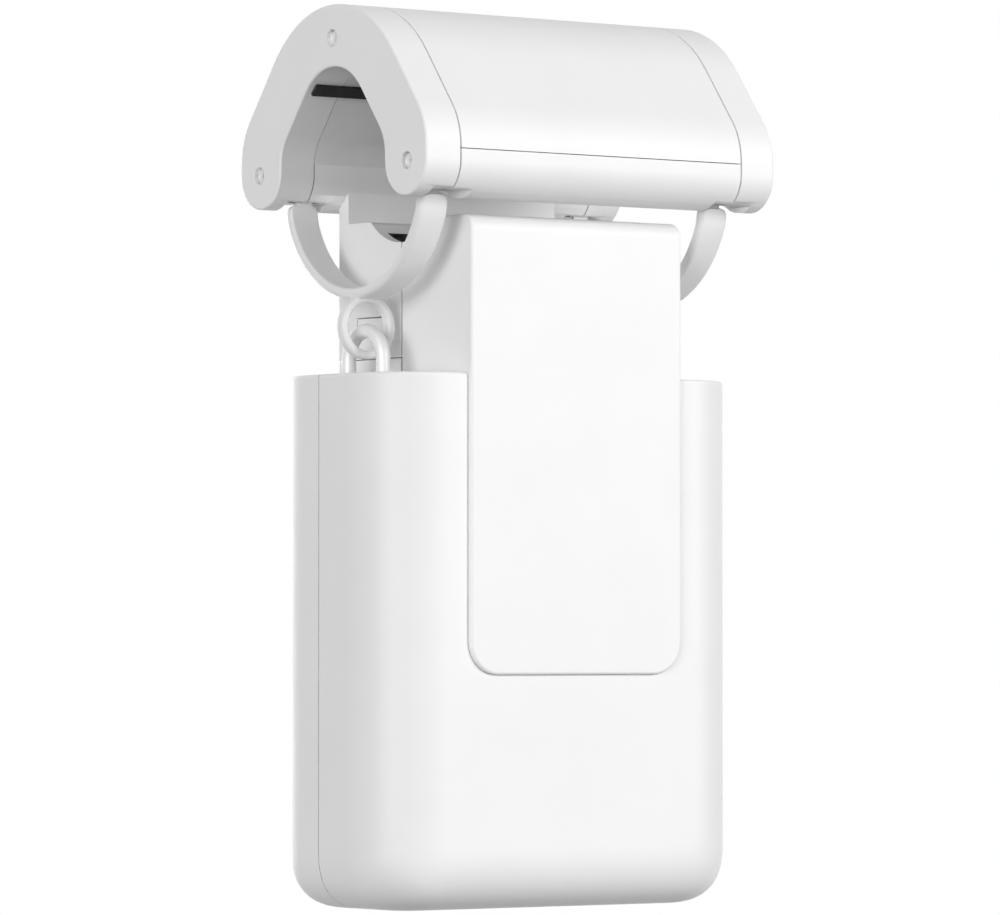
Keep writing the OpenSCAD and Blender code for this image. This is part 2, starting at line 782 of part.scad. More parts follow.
// The arm that carries the head behind the rod, with the head's rear rail
module rear_arm() {
    color("whitesmoke") difference() {
        union() {
            difference() {
                along_x(-panel_x, panel_x) polygon([
                    [arm_y0, stub_z], [arm_y1, stub_z], [arm_y1, leg_foot], [leg_y, -leg_drop],
                    [arm_step, -leg_drop], [arm_step, panel_z1], [arm_y0, panel_z1]
                ]);
                block([-arm_in, arm_in], [-far, arm_y1 - arm_wall], [-far, panel_z1 - arm_wall]);
            }
            along_x(-seam_x, seam_x) intersection() {
                head_section();
                below_seam(1);
            }
            // Spigot that plugs into the rear shell's neck
            difference() {
                union() {
                    block([-spigot_x, spigot_x], spigot_y, [spigot_z, stub_z + 1]);
                    block([-collar_x, collar_x], [spigot_y[0], arm_y1 - root], [stub_z, stub_z + collar_h]);
                }
                block([-spigot_in, spigot_in], [-far, spigot_y[1] - spigot_wall], [-far, far]);
            }
            // Guides that the side buttons press towards
            both_sides() block(
                [guide_x1 - guide_t, guide_x1],
                [button_y - button_len / 2, arm_y1 - root],
                [button_z - button_h, button_z + button_h]
            );
        }
        head_cuts();
        bar_x(0, 0, cradle_r, -far, far);
        both_sides() along_x(arm_in - root, far)
            translate([button_y, button_z]) square([button_len, button_h], center = true);
        both_sides() bar_y(arm_screw_x, arm_screw_z, screw_r + seat_fit, 0, far);
    }
}
module release_button(side) {
    y = button_len / 2 - button_gap;
    z = button_h / 2 - button_gap;
    color("whitesmoke") on_side(side) translate([0, button_y, button_z]) {
        block([flange_x1 - root, panel_x], [-y, y], [-z, z]);
        block([flange_x0, flange_x1], [-y - flange, y + flange], [-z - flange, z + flange]);
    }
}
module arm_screws() {
    color("silver") both_sides() {
        bar_y(arm_screw_x, arm_screw_z, screw_head_r, body_rear - screw_head_h, body_rear - 0.1);
        bar_y(arm_screw_x, arm_screw_z, screw_r, arm_screw_tip, body_rear - screw_head_h + root);
    }
}
module shell_screws() {
    color("silver") both_sides() for (z = shell_screw_zs) {
        bar_y(shell_screw_x, z, screw_head_r, shell_screw_head_y, shell_screw_head_y + screw_head_h);
        bar_y(shell_screw_x, z, screw_r, shell_screw_tip, shell_screw_head_y + root);
    }
}

// The panel and the sides of the neck are one tray, open at the back
module front_panel() {
    color("white") difference() {
        union() {
            difference() {
                along_y(panel_y0, panel_y1) panel_outline(0);
                along_y(panel_y0 + panel_t, far) panel_outline(panel_wall);
                block([-far, far], [skirt_y, far], [-far, tray_foot]);
            }
            both_sides() {
                block([panel_in + root, lug_x], lug_y, lug_z);
                for (z = panel_screw_zs)
                    bar_y(panel_screw_x, z, panel_boss_r, panel_y0 + panel_t - root, gearbox_y0);
            }
        }
        bar_x(0, 0, cradle_r, -far, far);
        both_sides() for (z = panel_screw_zs) bar_y(panel_screw_x, z, screw_r + seat_fit, panel_y0 + 1, far);
    }
}
module frame_holes(r) {
    both_sides() for (z = pillar_zs) bar_y(pillar_x, z, r, -far, far);
}
module axle_holes(r) {
    both_sides() bar_y(wheel_x, wheel_z, r, -far, far);
}
module gearbox_plate() {
    color("gainsboro") difference() {
        block([-gearbox_x, gearbox_x], [gearbox_y0, gearbox_y1], [frame_foot, gearbox_top]);
        frame_holes(screw_r + seat_fit);
        axle_holes(bush_r + seat_fit);
        bar_y(0, central_z, pin_r + seat_fit, -far, far);
        both_sides() for (z = panel_screw_zs) bar_y(panel_screw_x, z, screw_r + seat_fit, -far, far);
    }
}
module motor_plate() {
    color("gainsboro") difference() {
        block([-frame_x, frame_x], [motor_plate_y0, motor_plate_y1], [frame_foot, central_z + pin_r + 2.5]);
        frame_holes(screw_r + seat_fit);
        bar_y(0, central_z, pin_r + seat_fit, -far, far);
        bar_y(0, motor_z, shaft_r + 2, -far, far);
    }
}
module rear_axle_plate() {
    color("gainsboro") difference() {
        block([-frame_x, frame_x], [axle_plate_y0, axle_plate_y1], [frame_foot, wheel_z + bush_r + 2]);
        frame_holes(screw_r + seat_fit);
        axle_holes(bush_r + seat_fit);
        bar_y(0, motor_z, motor_r + slide_fit, -far, far);
    }
}
module frame_pillars() {
    spans = [[gearbox_y1, motor_plate_y0], [motor_plate_y1, axle_plate_y0]];
    color("silver") both_sides() for (z = pillar_zs, y = spans)
        difference() {
            bar_y(pillar_x, z, pillar_r, y[0], y[1]);
            bar_y(pillar_x, z, screw_r + seat_fit, -far, far);
        }
}
module frame_screws() {
    color("silver") both_sides() for (z = pillar_zs) {
        bar_y(pillar_x, z, screw_head_r, axle_plate_y1, axle_plate_y1 + screw_head_h);
        bar_y(pillar_x, z, screw_r, gearbox_y0, axle_plate_y1 + root);
    }
}
module panel_screws() {
    color("silver") both_sides() for (z = panel_screw_zs) {
        bar_y(panel_screw_x, z, screw_head_r, gearbox_y1, gearbox_y1 + screw_head_h);
        bar_y(panel_screw_x, z, screw_r, panel_y0 + 1.2, gearbox_y1 + root);
    }
}
module axle_bushes() {
    color("goldenrod") both_sides() for (y = [[gearbox_y0, gearbox_y1], [axle_plate_y0, axle_plate_y1]])
        difference() {
            bar_y(wheel_x, wheel_z, bush_r, y[0], y[1]);
            bar_y(wheel_x, wheel_z, axle_r + run_fit, -far, far);
        }
}
module gear_pin() {
    color("silver") bar_y(0, central_z, pin_r, gearbox_y0, motor_plate_y1);
}
module motor() {
    color("silver") difference() {
        bar_y(0, motor_z, motor_r, motor_plate_y1, motor_plate_y1 + motor_len);
        bar_y(0, motor_z, shaft_r + run_fit, -far, motor_plate_y1 + motor_len / 2);
    }
}
module motor_shaft() {
    color("silver") bar_y(0, motor_z, shaft_r, gear_y0 - 1, motor_plate_y1 + motor_len / 2 - 0.5);
}
module gear(x, z, teeth, angle, bore_r) {
    along_y(gear_y0, gear_y1) translate([x, z]) difference() {
        polygon([for (i = [0:teeth - 1]) each tooth(teeth, angle + 360 * i / teeth)]);
        circle(bore_r);
    }
}
module motor_gear() {
    color("goldenrod") gear(0, motor_z, motor_teeth, motor_angle, shaft_r + seat_fit);
}
module central_gear() {
    color("ivory") gear(0, central_z, central_teeth, central_angle, pin_r + run_fit);
}
module wheel_gear(side) {
    angle = side < 0 ? wheel_left_angle : wheel_right_angle;
    color("ivory") gear(side * wheel_x, wheel_z, wheel_teeth, angle, axle_r + seat_fit);
}
module wheel_axle(side) {
    color("silver") on_side(side) bar_y(wheel_x, wheel_z, axle_r, gearbox_y0, axle_plate_y1);
}
module wheel_hub(side) {
    color("dimgray") on_side(side) difference() {
        bar_y(wheel_x, wheel_z, hub_r, -wheel_w / 2, wheel_w / 2);
        bar_y(wheel_x, wheel_z, axle_r + seat_fit, -far, far);
    }
}
module wheel_tyre(side) {
    color("black") on_side(side) difference() {
        bar_y(wheel_x, wheel_z, wheel_r, -wheel_w / 2, wheel_w / 2);
        bar_y(wheel_x, wheel_z, hub_r + seat_fit, -far, far);
    }
}
module lift_spring(side) {
    color("silver") on_side(side) translate([spring_x, spring_y, shelf_z]) difference() {
        cylinder(r = spring_r, h = spring_len);
        translate([0, 0, -1]) cylinder(r = spring_r - spring_wire, h = spring_len + 2);
    }
}

module circuit_board() {
    color("seagreen") difference() {
        block([-board_w / 2, board_w / 2], [board_y0, board_y1], [board_z0, board_z1]);
        both_sides() for (z = board_screw_zs) bar_y(board_screw_x, z, screw_r + seat_fit, -far, far);
    }
}
module board_screws() {
    color("silver") both_sides() for (z = board_screw_zs) {
        bar_y(board_screw_x, z, screw_head_r, board_y0 - screw_head_h, board_y0);
        bar_y(board_screw_x, z, screw_r, board_y0 - root, board_y1 + board_screw_reach);
    }
}
module tact_switch() {
    w = switch_w / 2;
    stem_y = key_flange_y - key_flange_t - key_travel - 0.05;
    color("dimgray") {
        block([-w, w], [board_y1, board_y1 + switch_t], [key_z - w, key_z + w]);
        bar_y(0, key_z, switch_w / 4, board_y1 + switch_t - root, stem_y);
    }
}
module function_button() {
    color("whitesmoke") {
        bar_y(0, key_z, key_r, key_flange_y - root, body_rear);
        bar_y(0, key_z, key_r + 0.9, key_flange_y - key_flange_t, key_flange_y);
    }
}
module status_light() {
    color("lightyellow") bar_y(0, light_z, light_r, board_y1, body_rear);
}
// Rounded outline of the charging socket, grown by g
module port_outline(g) {
    r = port_h / 2;
    translate([r - port_w / 2, port_z - r - g]) square([port_w - 2 * r, port_h + 2 * g]);
    for (s = [-1, 1]) translate([s * (port_w / 2 - r), port_z]) circle(r + g);
}
module charging_socket() {
    color("silver") difference() {
        along_y(board_y1, port_y1) port_outline(0);
        along_y(board_y1 + port_skin, far) port_outline(-port_skin);
    }
    color("black") block(
        [port_h - port_w / 2, port_w / 2 - port_h],
        [board_y1, port_y1 - 1],
        [port_z - port_skin, port_z + port_skin]
    );
}
module battery_cell(z) {
    color("steelblue") bar_x(0, z, cell_r, -cell_len / 2, cell_len / 2);
}
module battery_holder() {
    x = cell_len / 2 + contact_t;
    color("dimgray") difference() {
        union() {
            block([-holder_x, holder_x], holder_y, holder_z);
            both_sides() block([x, holder_x], [-6, holder_y[1]], holder_z);
            for (z = [cell_low_z, cell_high_z]) block(
                [-holder_foot_x, holder_foot_x],
                [holder_y[1] - root, rear_in],
                [z - holder_foot_t / 2, z + holder_foot_t / 2]
            );
        }
        for (z = [cell_low_z, cell_high_z]) bar_x(0, z, cell_r + seat_fit, -x, x);
    }
}
module battery_contacts() {
    h = contact_w / 2;
    color("silver") both_sides() for (z = [cell_low_z, cell_high_z])
        block([cell_len / 2, cell_len / 2 + contact_t], [-h, h], [z - h, z + h]);
}

rear_shell();
front_shell();
rear_arm();
head_cover();
roller_carrier();
front_rail();
end_cap(-1);  // end_cap_left
end_cap(1);  // end_cap_right
cap_screws(-1);  // cap_screws_left
cap_screws(1);  // cap_screws_right
rod_pad(-1);  // rod_pad_front
rod_pad(1);  // rod_pad_rear
idler_axle(-1);  // idler_axle_left
idler_axle(1);  // idler_axle_right
idler_core(-1);  // idler_core_left
idler_core(1);  // idler_core_right
idler_sleeve(-1);  // idler_sleeve_left
idler_sleeve(1);  // idler_sleeve_right
ring(-1);  // ring_left
ring(1);  // ring_right
bail(-1);  // bail_left
bail(1);  // bail_right
release_button(-1);  // release_button_left
release_button(1);  // release_button_right
arm_screws();
shell_screws();
front_panel();
gearbox_plate();
motor_plate();
rear_axle_plate();
frame_pillars();
frame_screws();
panel_screws();
axle_bushes();
gear_pin();
motor();
motor_shaft();
motor_gear();
central_gear();
wheel_gear(-1);  // wheel_gear_left
wheel_gear(1);  // wheel_gear_right
wheel_axle(-1);  // wheel_axle_left
wheel_axle(1);  // wheel_axle_right
wheel_hub(-1);  // wheel_hub_left
wheel_hub(1);  // wheel_hub_right
wheel_tyre(-1);  // wheel_tyre_left
wheel_tyre(1);  // wheel_tyre_right
lift_spring(-1);  // lift_spring_left
lift_spring(1);  // lift_spring_right
circuit_board();
board_screws();
tact_switch();
function_button();
status_light();
charging_socket();
battery_cell(cell_high_z);  // battery_cell_upper
battery_cell(cell_low_z);  // battery_cell_lower
battery_holder();
battery_contacts();
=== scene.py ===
import json
import math

import bmesh
import bpy
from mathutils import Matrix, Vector

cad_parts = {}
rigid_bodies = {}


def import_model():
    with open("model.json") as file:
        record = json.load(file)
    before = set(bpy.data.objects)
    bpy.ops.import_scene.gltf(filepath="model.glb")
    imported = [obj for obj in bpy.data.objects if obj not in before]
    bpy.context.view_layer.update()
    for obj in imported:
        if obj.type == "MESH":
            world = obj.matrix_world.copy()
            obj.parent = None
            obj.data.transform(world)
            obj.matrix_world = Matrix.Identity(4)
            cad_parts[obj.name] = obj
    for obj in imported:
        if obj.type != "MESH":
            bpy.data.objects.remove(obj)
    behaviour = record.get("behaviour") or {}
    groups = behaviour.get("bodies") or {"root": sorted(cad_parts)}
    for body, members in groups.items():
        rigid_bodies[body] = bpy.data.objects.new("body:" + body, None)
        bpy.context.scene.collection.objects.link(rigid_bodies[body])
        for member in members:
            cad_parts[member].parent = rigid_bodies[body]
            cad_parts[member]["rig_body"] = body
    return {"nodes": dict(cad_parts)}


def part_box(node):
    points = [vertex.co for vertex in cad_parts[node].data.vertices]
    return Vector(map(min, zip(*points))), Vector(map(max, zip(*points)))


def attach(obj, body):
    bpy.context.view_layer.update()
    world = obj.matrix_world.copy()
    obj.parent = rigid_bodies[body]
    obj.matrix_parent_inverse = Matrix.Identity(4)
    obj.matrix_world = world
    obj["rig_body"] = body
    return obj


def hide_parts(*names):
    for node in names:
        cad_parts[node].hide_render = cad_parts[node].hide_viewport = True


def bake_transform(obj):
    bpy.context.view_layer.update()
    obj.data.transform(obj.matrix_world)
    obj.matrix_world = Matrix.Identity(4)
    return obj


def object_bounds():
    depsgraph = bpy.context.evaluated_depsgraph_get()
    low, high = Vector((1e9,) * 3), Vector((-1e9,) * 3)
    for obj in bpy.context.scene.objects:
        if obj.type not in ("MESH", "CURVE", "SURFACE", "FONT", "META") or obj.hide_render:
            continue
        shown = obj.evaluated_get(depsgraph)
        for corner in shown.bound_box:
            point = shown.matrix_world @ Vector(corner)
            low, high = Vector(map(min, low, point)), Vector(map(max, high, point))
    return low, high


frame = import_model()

cad_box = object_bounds()
MM = 0.001
SIDES = ("left", "right")
AXES = {"x": 0, "y": 1, "z": 2}
TURN = 2 * math.pi
QUARTER_STEPS = [math.radians(15 * k) for k in range(7)]

# Places on the object, from the frame
BODY_LOW, BODY_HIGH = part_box("front_shell")
REAR_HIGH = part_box("rear_shell")[1]
PANEL_LOW, PANEL_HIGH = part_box("front_panel")
ARM_LOW, ARM_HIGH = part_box("rear_arm")

# Edges and seams
SHARP = math.radians(30)
FLAT = math.radians(0.4)
ON_PLANE = 0.02 * MM
SAME_POINT = 0.001 * MM
PANEL_HALF = 23.4 * MM
PANEL_TOP_R = 3.3 * MM
PANEL_FOOT_R = 6.0 * MM
PANEL_FIT = 0.015 * MM
PANEL_EDGE = 0.45 * MM
PANEL_CREST = 2.8 * MM
CREST_STEPS = 8
OPENING_X = 23.9 * MM
OPENING_R = 6.5 * MM
OPENING_FOOT = PANEL_LOW.z - 0.25 * MM
FRONT_WALL_Y = -17.5 * MM
OPENING_EDGE = 0.3 * MM
OPENING_CORNER = 0.8 * MM
BODY_RIM = 0.6 * MM
WALL = 2.0 * MM
BODY_CORNER_R = 13.0 * MM
BODY_FOOT_R = 11.0 * MM
BODY_FOOT_FULLNESS = 2.6
CAP_EDGE = 0.35 * MM
ARM_EDGE = 0.3 * MM
ARM_BACK = 19.5 * MM
ARM_DEEPER = 0.3 * MM
SMALL_EDGE = 0.2 * MM
PAD_EDGE = 0.12 * MM
SOCKET_EDGE = 0.08 * MM
SCREW_HOLE_EDGE = 0.08 * MM
SCREW_HOLE_REACH = 2.0 * MM
BAIL_HOLE_REACH = 2.0 * MM
SEAM = 0.16 * MM
CAP_GAP = 0.36 * MM
SHELL_GAP = 0.28 * MM
SEAM_SHIFT = 0.9 * MM


# Materials
CLOUD_RANGE = (0.35, 0.65)
GRAIN_RANGE = (0.3, 0.7)
WAVE_SHARE = 0.6


def new_material(name):
    made = bpy.data.materials.new(name)
    made.use_nodes = True
    return made, made.node_tree, made.node_tree.nodes["Principled BSDF"]


def add(tree, kind, **inputs):
    node = tree.nodes.new("ShaderNode" + kind)
    for name, value in inputs.items():
        node.inputs[name.replace("_", " ")].default_value = value
    return node


def place(tree, stretch=(1, 1, 1)):
    """Coordinates fixed to the piece, in metres, stretched along the axes."""
    coords = add(tree, "TexCoord")
    mapping = add(tree, "Mapping", Scale=stretch)
    tree.links.new(coords.outputs["Object"], mapping.inputs["Vector"])
    return mapping.outputs["Vector"]


def noise(tree, where, size, detail=2.0):
    """Cloudy pattern whose spots are about size across."""
    made = add(tree, "TexNoise", Scale=1 / size, Detail=detail)
    tree.links.new(where, made.inputs["Vector"])
    return made.outputs["Fac"]


def spread(tree, source, low, high):
    """Stretches a fine pattern between two values."""
    start, end = GRAIN_RANGE
    made = add(tree, "MapRange", From_Min=start, From_Max=end, To_Min=low, To_Max=high)
    tree.links.new(source, made.inputs["Value"])
    return made.outputs["Result"]


def tint(tree, source, first, second):
    """Blends two tones by a cloudy pattern."""
    ramp = tree.nodes.new("ShaderNodeValToRGB")
    for stop, position, tone in zip(ramp.color_ramp.elements, CLOUD_RANGE, (first, second)):
        stop.position = position
        stop.color = (*tone, 1)
    tree.links.new(source, ramp.inputs["Fac"])
    return ramp.outputs["Color"]


def bump(tree, source, depth, under=None):
    """Relief of a depth, laid over another where one is given."""
    made = add(tree, "Bump", Distance=depth, Strength=1.0)
    tree.links.new(source, made.inputs["Height"])
    if under:
        tree.links.new(under, made.inputs["Normal"])
    return made.outputs["Normal"]


def surface(name, tones, rough, grain, depth, cloud, metallic=0.0, stretch=(1, 1, 1), specular=0.5):
    """Two close tones in soft clouds, with a fine grain in its gloss and its relief."""
    made, tree, shader = new_material(name)
    where = place(tree, stretch)
    clouds = noise(tree, where, cloud, detail=3.0)
    fine = noise(tree, where, grain)
    tree.links.new(tint(tree, clouds, *tones), shader.inputs["Base Color"])
    tree.links.new(spread(tree, fine, *rough), shader.inputs["Roughness"])
    waves = bump(tree, clouds, depth * WAVE_SHARE)
    tree.links.new(bump(tree, fine, depth, under=waves), shader.inputs["Normal"])
    shader.inputs["Metallic"].default_value = metallic
    shader.inputs["Specular IOR Level"].default_value = specular
    return made


def grey(value, warm=0.0):
    return (value + warm, value, value - warm)


FINISHES = {
    "shell_white": surface(
        "shell_white", (grey(0.885), grey(0.9)), (0.4, 0.5), 0.16 * MM, 0.004 * MM, 14 * MM
    ),
    "ring_white": surface(
        "ring_white", (grey(0.86, 0.002), grey(0.88, 0.002)), (0.34, 0.44), 0.3 * MM, 0.003 * MM, 9 * MM
    ),
    "liner_white": surface(
        "liner_white", (grey(0.78), grey(0.82)), (0.5, 0.62), 0.2 * MM, 0.008 * MM, 8 * MM
    ),
    "bail_steel": surface(
        "bail_steel", (grey(0.8), grey(0.85)), (0.42, 0.55), 0.12 * MM, 0.003 * MM, 3 * MM,
        metallic=0.3, stretch=(1, 1, 0.15),
    ),
    "screw_steel": surface(
        "screw_steel", (grey(0.62), grey(0.72)), (0.4, 0.5), 0.08 * MM, 0.004 * MM, 0.7 * MM, metallic=0.4
    ),
    "axle_steel": surface(
        "axle_steel", (grey(0.6), grey(0.7)), (0.2, 0.34), 0.1 * MM, 0.002 * MM, 2 * MM,
        metallic=1.0, stretch=(1, 0.1, 1),
    ),
    "spring_steel": surface(
        "spring_steel", (grey(0.5), grey(0.6)), (0.25, 0.4), 0.1 * MM, 0.003 * MM, 1.5 * MM, metallic=1.0
    ),
    "rubber_black": surface(
        "rubber_black", (grey(0.012), grey(0.022)), (0.62, 0.8), 0.18 * MM, 0.02 * MM, 3 * MM, specular=0.35
    ),
    "hub_black": surface(
        "hub_black", (grey(0.02), grey(0.032)), (0.4, 0.55), 0.2 * MM, 0.008 * MM, 4 * MM
    ),
    "frame_grey": surface(
        "frame_grey", (grey(0.09), grey(0.12)), (0.45, 0.6), 0.22 * MM, 0.01 * MM, 6 * MM
    ),
    "gear_nylon": surface(
        "gear_nylon", ((0.72, 0.7, 0.62), (0.78, 0.76, 0.69)), (0.4, 0.52), 0.2 * MM, 0.006 * MM, 3 * MM
    ),
    "brass": surface(
        "brass", ((0.7, 0.5, 0.22), (0.78, 0.58, 0.28)), (0.24, 0.4), 0.1 * MM, 0.004 * MM, 2 * MM,
        metallic=1.0,
    ),
    "motor_steel": surface(
        "motor_steel", (grey(0.48), grey(0.6)), (0.26, 0.42), 0.14 * MM, 0.004 * MM, 4 * MM,
        metallic=1.0, stretch=(1, 0.12, 1),
    ),
    "board_green": surface(
        "board_green", ((0.015, 0.09, 0.045), (0.025, 0.13, 0.065)), (0.3, 0.45), 0.4 * MM, 0.02 * MM,
        2 * MM,
    ),
    "cell_wrap": surface(
        "cell_wrap", ((0.05, 0.13, 0.28), (0.07, 0.17, 0.34)), (0.25, 0.4), 0.5 * MM, 0.01 * MM, 10 * MM
    ),
    "contact_nickel": surface(
        "contact_nickel", (grey(0.55, 0.01), grey(0.68, 0.01)), (0.24, 0.38), 0.1 * MM, 0.004 * MM, 1 * MM,
        metallic=1.0,
    ),
    "light_pipe": surface(
        "light_pipe", (grey(0.8, 0.01), grey(0.88, 0.01)), (0.2, 0.3), 0.2 * MM, 0.004 * MM, 0.6 * MM
    ),
}
node_slots = {}
for node_name, node in frame["nodes"].items():
    node_slots[node_name] = node.data.materials[0].name
    node.data.materials[0] = FINISHES[node_slots[node_name]]


# Mesh tools
def join_flat(bm):
    """Joins faces that lie in one plane."""
    bmesh.ops.dissolve_limit(bm, angle_limit=FLAT, verts=bm.verts, edges=bm.edges)


def cad_copy(node):
    """The solid's own faces, with flat stretches joined again."""
    bm = bmesh.new()
    bm.from_mesh(frame["nodes"][node].data)
    bmesh.ops.remove_doubles(bm, verts=bm.verts, dist=SAME_POINT)
    join_flat(bm)
    return bm


def islands(bm):
    """The corner points of each separate solid."""
    left = set(bm.verts)
    while left:
        front = [left.pop()]
        points = []
        while front:
            vert = front.pop()
            points.append(vert.co.copy())
            reached = {edge.other_vert(vert) for edge in vert.link_edges} & left
            left -= reached
            front += reached
        yield points


def centre_of(points):
    return [(min(values) + max(values)) / 2 for values in zip(*points)]


def at(axis, value):
    """Chooses the edges that lie in a plane square to an axis."""
    i = AXES[axis]
    return lambda edge: all(abs(vert.co[i] - value) < ON_PLANE for vert in edge.verts)


def both(first, second):
    return lambda edge: first(edge) and second(edge)


def clear_of(places, reach):
    """Chooses the edges that keep their distance from upright lines."""
    def chosen(edge):
        middle = (edge.verts[0].co + edge.verts[1].co) / 2
        return all(math.hypot(middle.x - x, middle.y - y) > reach for x, y in places)
    return chosen


def near(axis, places, reach):
    """Chooses the edges close to lines along an axis, given by their other two coordinates."""
    i = AXES[axis]

    def chosen(edge):
        middle = (edge.verts[0].co + edge.verts[1].co) / 2
        across = [middle[k] for k in range(3) if k != i]
        return any(math.dist(across, place) < reach for place in places)
    return chosen


def upright(edge):
    """Chooses the edges at the back that stand upright above the body."""
    low, high = sorted((vert.co for vert in edge.verts), key=lambda co: co.z)
    return (high - low).xy.length < ON_PLANE and low.y > ARM_HIGH.y / 2 and low.z > BODY_HIGH.z - ON_PLANE


def draw_back(bm, axis, value, shift, where=None):
    """Moves the faces in a plane square to an axis, which opens or narrows a seam beside them."""
    i = AXES[axis]
    for vert in bm.verts:
        if abs(vert.co[i] - value) < ON_PLANE and (where is None or where(vert.co)):
            vert.co[i] += shift


def mark_edges(bm, rules):
    """Weighs each sharp outer edge by the first rule that chooses it, as a share of the largest radius."""
    largest = max(radius for chooses, radius in rules)
    weight = bm.edges.layers.float.new("bevel_weight_edge")
    for edge in bm.edges:
        if len(edge.link_faces) != 2 or edge.calc_face_angle_signed() < SHARP:
            continue
        edge[weight] = next((radius / largest for chooses, radius in rules if chooses(edge)), 0)
    return largest


def round_marked(made, largest, steps):
    rounding = made.modifiers.new("rounded edges", "BEVEL")
    rounding.width = largest
    rounding.limit_method = "WEIGHT"
    rounding.segments = steps
    rounding.use_clamp_overlap = False


def keep_flat(made):
    normals = made.modifiers.new("flat faces stay flat", "WEIGHTED_NORMAL")
    normals.keep_sharp = True


def piece(bm, name, node, rides=True):
    """Puts a finished mesh in the place of its node, on the node's body."""
    bmesh.ops.recalc_face_normals(bm, faces=bm.faces)
    mesh = bpy.data.meshes.new(name)
    bm.to_mesh(mesh)
    bm.free()
    mesh.shade_smooth()
    mesh.set_sharp_from_angle(angle=SHARP)
    made = bpy.data.objects.new(name, mesh)
    bpy.context.scene.collection.objects.link(made)
    mesh.materials.append(FINISHES[node_slots[node]])
    if rides:
        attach(made, frame["nodes"][node]["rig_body"])
    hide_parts(node)
    return made


def moulding(node, rules=(), seams=(), steps=3, shape=None):
    """A node's own solid, shaped, with its edges rounded as the rules say and its seams opened."""
    bm = cad_copy(node)
    if shape:
        shape(bm)
        bm.normal_update()
    largest = mark_edges(bm, rules) if rules else 0
    for seam in seams:
        draw_back(bm, *seam)
    made = piece(bm, node + "_moulding", node)
    if rules:
        round_marked(made, largest, steps)
    keep_flat(made)
    return made


def anywhere(edge):
    return True


def rounded(corners, steps=5):
    """Closed outline through corners of (across, along, radius), each turned into an arc."""
    points = []
    for i, (across, along, radius) in enumerate(corners):
        here = Vector((across, along))
        back = (Vector(corners[i - 1][:2]) - here).normalized()
        onward = (Vector(corners[(i + 1) % len(corners)][:2]) - here).normalized()
        half = back.angle(onward) / 2
        centre = here + (back + onward).normalized() * radius / math.sin(half)
        first = here + back * radius / math.tan(half) - centre
        last = here + onward * radius / math.tan(half) - centre
        points += [centre + first.lerp(last, k / steps).normalized() * radius for k in range(steps + 1)]
    return [(point.x, point.y) for point in points]


def bridge(bm, first, second):
    for i in range(len(first)):
        j = (i + 1) % len(first)
        bm.faces.new((first[i], first[j], second[j], second[i]))


def turned(bm, outline, centre, axis, steps=72, lobes=0):
    """Turns a closed outline of (radius, along, wave) about an axis; a wave lifts and lowers each lobe."""
    i = AXES[axis]
    rings = []
    for step in range(steps):
        angle = TURN * step / steps
        ring = []
        for radius, along, wave in ((*point, 0)[:3] for point in outline):
            reach = radius + wave * math.cos(lobes * angle)
            spot = Vector(centre)
            spot[i] += along
            spot[(i + 1) % 3] += reach * math.cos(angle)
            spot[(i + 2) % 3] += reach * math.sin(angle)
            ring.append(bm.verts.new(spot))
        rings.append(ring)
    for step in range(steps):
        bridge(bm, rings[step - 1], rings[step])
    made = [vert for ring in rings for vert in ring]
    bmesh.ops.remove_doubles(bm, verts=made, dist=SAME_POINT / 2)


def swept(bm, path, radius, around=16):
    """Round wire along a path, closed at its ends."""
    rings = []
    side = None
    for i, point in enumerate(path):
        ahead = (path[min(i + 1, len(path) - 1)] - path[max(i - 1, 0)]).normalized()
        side = (side - ahead * side.dot(ahead) if side else ahead.orthogonal()).normalized()
        other = ahead.cross(side)
        ring = []
        for k in range(around):
            angle = TURN * k / around
            ring.append(bm.verts.new(point + radius * (math.cos(angle) * side + math.sin(angle) * other)))
        rings.append(ring)
    for first, second in zip(rings, rings[1:]):
        bridge(bm, first, second)
    bm.faces.new(rings[0])
    bm.faces.new(rings[-1])


# Shells
BAILS = []
for side in SIDES:
    low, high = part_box("bail_" + side)
    wire = (high.x - low.x) / 2
    BAILS += [(low.x + wire, low.y + wire), (low.x + wire, high.y - wire)]
CAP_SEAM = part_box("end_cap_right")[0].x
CAP_SCREWS = [centre_of(points)[1:] for points in islands(cad_copy("cap_screws_right"))]
cover_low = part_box("head_cover")[0].z
STUB_TOP = REAR_HIGH.z
cap_seams = [("x", CAP_SEAM, -CAP_GAP / 2), ("x", -CAP_SEAM, CAP_GAP / 2)]


def on_stub(co):
    return abs(co.x) < PANEL_HALF + ON_PLANE and co.z > BODY_HIGH.z - ON_PLANE


def off_stub(co):
    return not on_stub(co)


def fit_opening(bm):
    """Brings the sides and the foot of the front opening close to the panel."""
    shrink = (PANEL_FOOT_R + PANEL_FIT) / OPENING_R
    arc_x = PANEL_HALF - PANEL_FOOT_R
    arc_z = OPENING_FOOT + OPENING_R
    for vert in bm.verts:
        x, y, z = vert.co
        if y > FRONT_WALL_Y or abs(x) > OPENING_X + ON_PLANE or z < OPENING_FOOT - ON_PLANE:
            continue
        vert.co.x = math.copysign(abs(x) - max(abs(x) - arc_x, 0) * (1 - shrink), x)
        if z < arc_z:
            vert.co.z = PANEL_LOW.z + PANEL_FOOT_R - (arc_z - z) * shrink


def over_foot(co):
    """How far a point lies outward and downward from the line that the foot is rounded about."""
    core_x = BODY_HIGH.x - BODY_CORNER_R
    core_y = BODY_LOW.y + BODY_CORNER_R, REAR_HIGH.y - BODY_CORNER_R
    out = Vector((co.x - min(max(co.x, -core_x), core_x), co.y - min(max(co.y, core_y[0]), core_y[1])))
    return out, out.length - (BODY_CORNER_R - BODY_FOOT_R), BODY_LOW.z + BODY_FOOT_R - co.z


